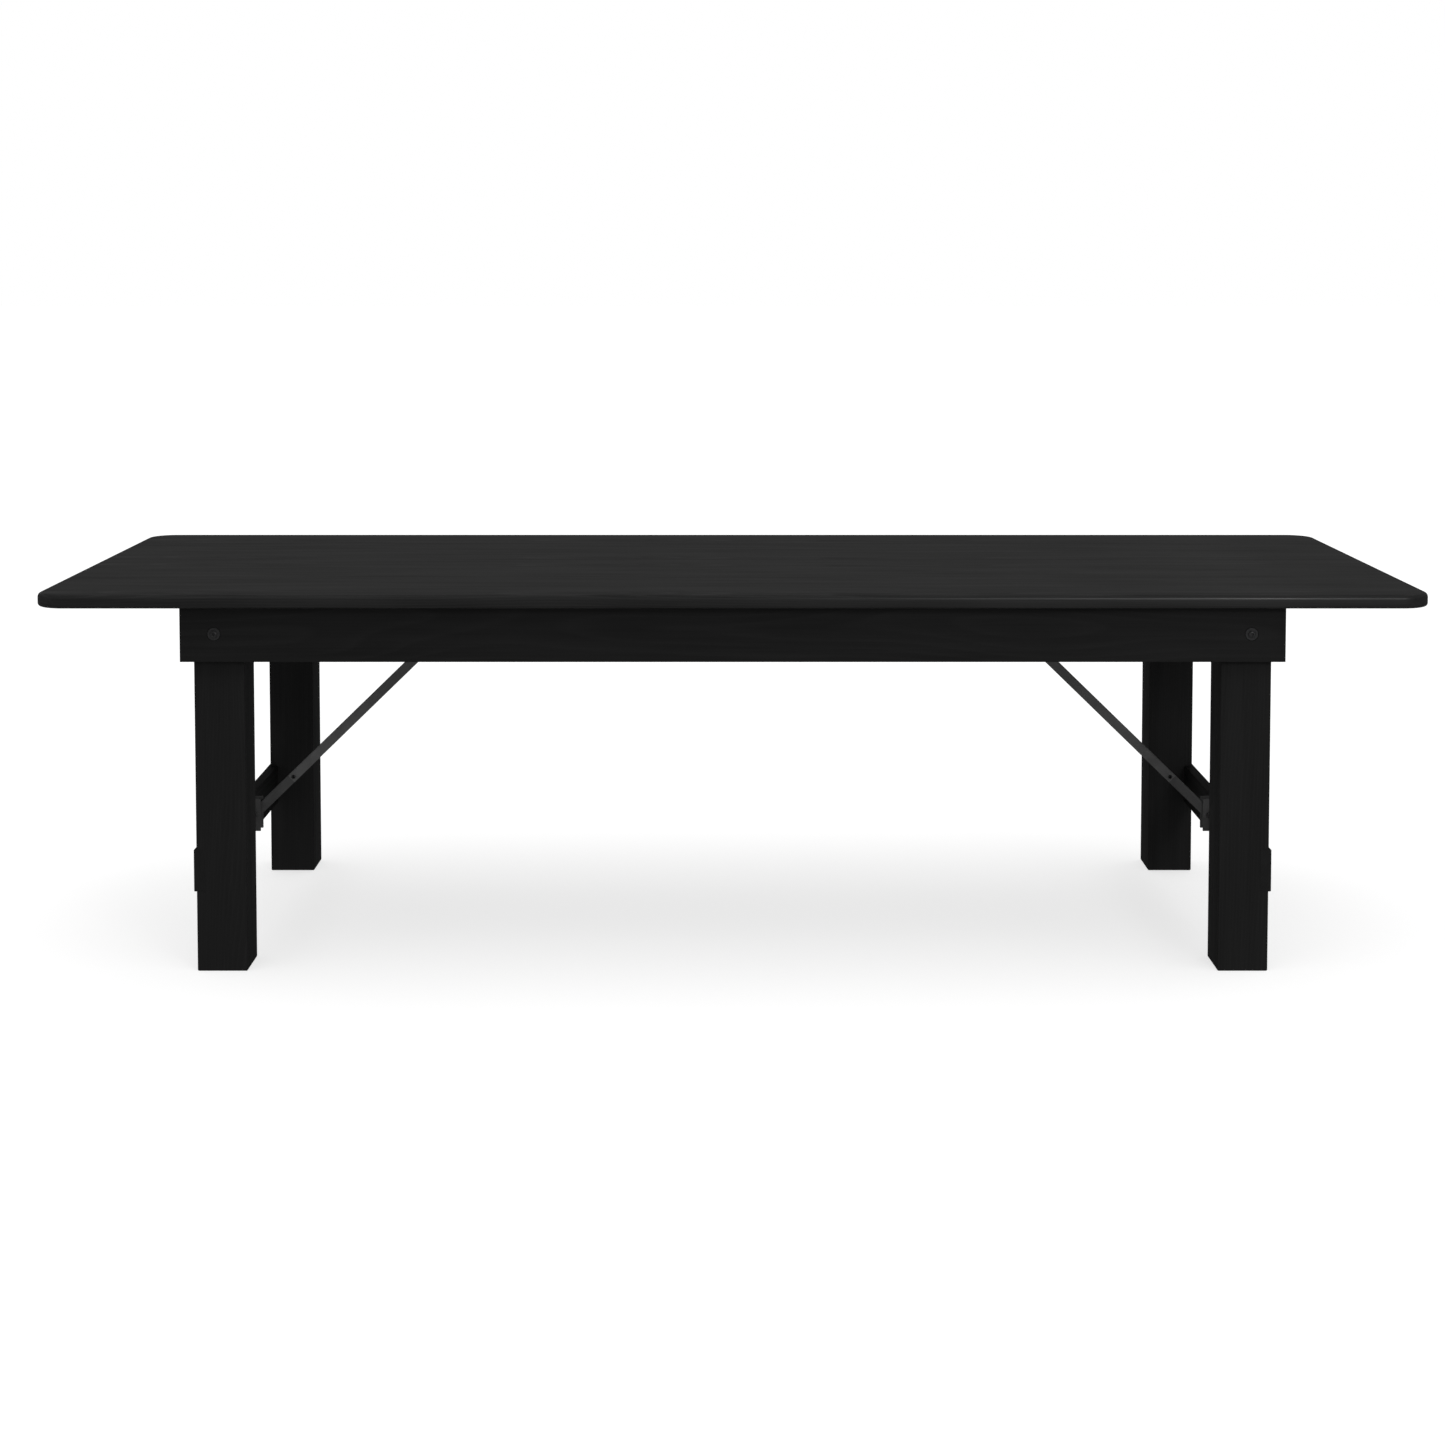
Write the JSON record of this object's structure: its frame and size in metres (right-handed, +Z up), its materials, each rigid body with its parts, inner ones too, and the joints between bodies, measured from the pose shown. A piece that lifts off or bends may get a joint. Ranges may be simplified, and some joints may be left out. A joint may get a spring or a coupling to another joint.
{
  "type": "folding table",
  "caption": "Long rectangular folding table with a board top, an apron skirt and square end legs that fold up inside it, each pair held by a steel brace.",
  "frame": {"origin": "on the floor, under the middle of the top", "axes": "+X along the length, +Y across the width towards the back, +Z up"},
  "size_m": [2.743, 1.016, 0.765],
  "materials": {
    "top_wood": "black stained pine, satin lacquer",
    "frame_wood": "black stained pine, low satin",
    "dowel_wood": "bare beech",
    "black_hardware": "black oxide steel",
    "brace_steel": "black powder coat",
    "zinc_steel": "zinc plated screws and bushes",
    "shoe_plastic": "moulded black nylon"
  },
  "bodies": {
    "tabletop": {"apron_back": "frame_wood", "apron_end_left": "frame_wood", "apron_end_right": "frame_wood", "apron_front": "frame_wood", "batten_screws": "zinc_steel", "centre_batten": "frame_wood", "corner_dowels": "dowel_wood", "guide_back_left": "brace_steel", "guide_back_right": "brace_steel", "guide_front_left": "brace_steel", "guide_front_right": "brace_steel", "guide_screws_left": "zinc_steel", "guide_screws_right": "zinc_steel", "pivot_bolts_left": "black_hardware", "pivot_bolts_right": "black_hardware", "pivot_nuts_left": "black_hardware", "pivot_nuts_right": "black_hardware", "pivot_washers_left": "black_hardware", "pivot_washers_right": "black_hardware", "top_board_1": "top_wood", "top_board_2": "top_wood", "top_board_3": "top_wood", "top_board_4": "top_wood"},
    "leg_frame_left": {"leg_front_left": "frame_wood", "leg_back_left": "frame_wood", "leg_bushes_left": "zinc_steel", "stretcher_left": "frame_wood", "stretcher_screws_left": "black_hardware", "brace_bracket_left": "brace_steel", "bracket_screws_left": "black_hardware", "link_bolt_left": "black_hardware", "link_nut_left": "black_hardware", "link_spacers_left": "zinc_steel"},
    "lower_link_left": {"lower_link_left": "brace_steel"},
    "brace_bar_left": {"brace_bar_left": "brace_steel", "knee_rivet_left": "black_hardware"},
    "slide_shoe_left": {"slide_shoe_left": "shoe_plastic", "shoe_pin_left": "zinc_steel"},
    "leg_frame_right": {"leg_front_right": "frame_wood", "leg_back_right": "frame_wood", "leg_bushes_right": "zinc_steel", "stretcher_right": "frame_wood", "stretcher_screws_right": "black_hardware", "brace_bracket_right": "brace_steel", "bracket_screws_right": "black_hardware", "link_bolt_right": "black_hardware", "link_nut_right": "black_hardware", "link_spacers_right": "zinc_steel"},
    "lower_link_right": {"lower_link_right": "brace_steel"},
    "brace_bar_right": {"brace_bar_right": "brace_steel", "knee_rivet_right": "black_hardware"},
    "slide_shoe_right": {"slide_shoe_right": "shoe_plastic", "shoe_pin_right": "zinc_steel"}
  },
  "joints": [
    {"name": "leg_fold_left", "type": "hinge", "parent": "tabletop", "child": "leg_frame_left", "pos_m": [-1.0232, 0, 0.6815], "axis": [0, -1, 0], "range_deg": [0, 90]},
    {"name": "link_pivot_left", "type": "hinge", "parent": "leg_frame_left", "child": "lower_link_left", "pos_m": [-1.036, 0, 0.2145], "axis": [0, -1, 0], "range_deg": [0, 38.81]},
    {"name": "knee_pivot_left", "type": "hinge", "parent": "lower_link_left", "child": "brace_bar_left", "pos_m": [-0.95069, 0, 0.29746], "axis": [0, -1, 0], "range_deg": [-169.53, 0]},
    {"name": "shoe_pivot_left", "type": "hinge", "parent": "brace_bar_left", "child": "slide_shoe_left", "pos_m": [-0.51618, 0, 0.72], "axis": [0, -1, 0], "range_deg": [0, 40.73]},
    {"name": "leg_fold_right", "type": "hinge", "parent": "tabletop", "child": "leg_frame_right", "pos_m": [1.0232, 0, 0.6815], "axis": [0, 1, 0], "range_deg": [0, 90]},
    {"name": "link_pivot_right", "type": "hinge", "parent": "leg_frame_right", "child": "lower_link_right", "pos_m": [1.036, 0, 0.2145], "axis": [0, 1, 0], "range_deg": [0, 38.81]},
    {"name": "knee_pivot_right", "type": "hinge", "parent": "lower_link_right", "child": "brace_bar_right", "pos_m": [0.95069, 0, 0.29746], "axis": [0, 1, 0], "range_deg": [-169.53, 0]},
    {"name": "shoe_pivot_right", "type": "hinge", "parent": "brace_bar_right", "child": "slide_shoe_right", "pos_m": [0.51618, 0, 0.72], "axis": [0, 1, 0], "range_deg": [0, 40.73]}
  ],
  "couplings": [
    {"joint": "link_pivot_left", "follows": "leg_fold_left", "ratio": 0.43111},
    {"joint": "knee_pivot_left", "follows": "leg_fold_left", "ratio": -1.8835},
    {"joint": "shoe_pivot_left", "follows": "leg_fold_left", "ratio": 0.45244},
    {"joint": "link_pivot_right", "follows": "leg_fold_right", "ratio": 0.43111},
    {"joint": "knee_pivot_right", "follows": "leg_fold_right", "ratio": -1.8835},
    {"joint": "shoe_pivot_right", "follows": "leg_fold_right", "ratio": 0.45244}
  ]
}
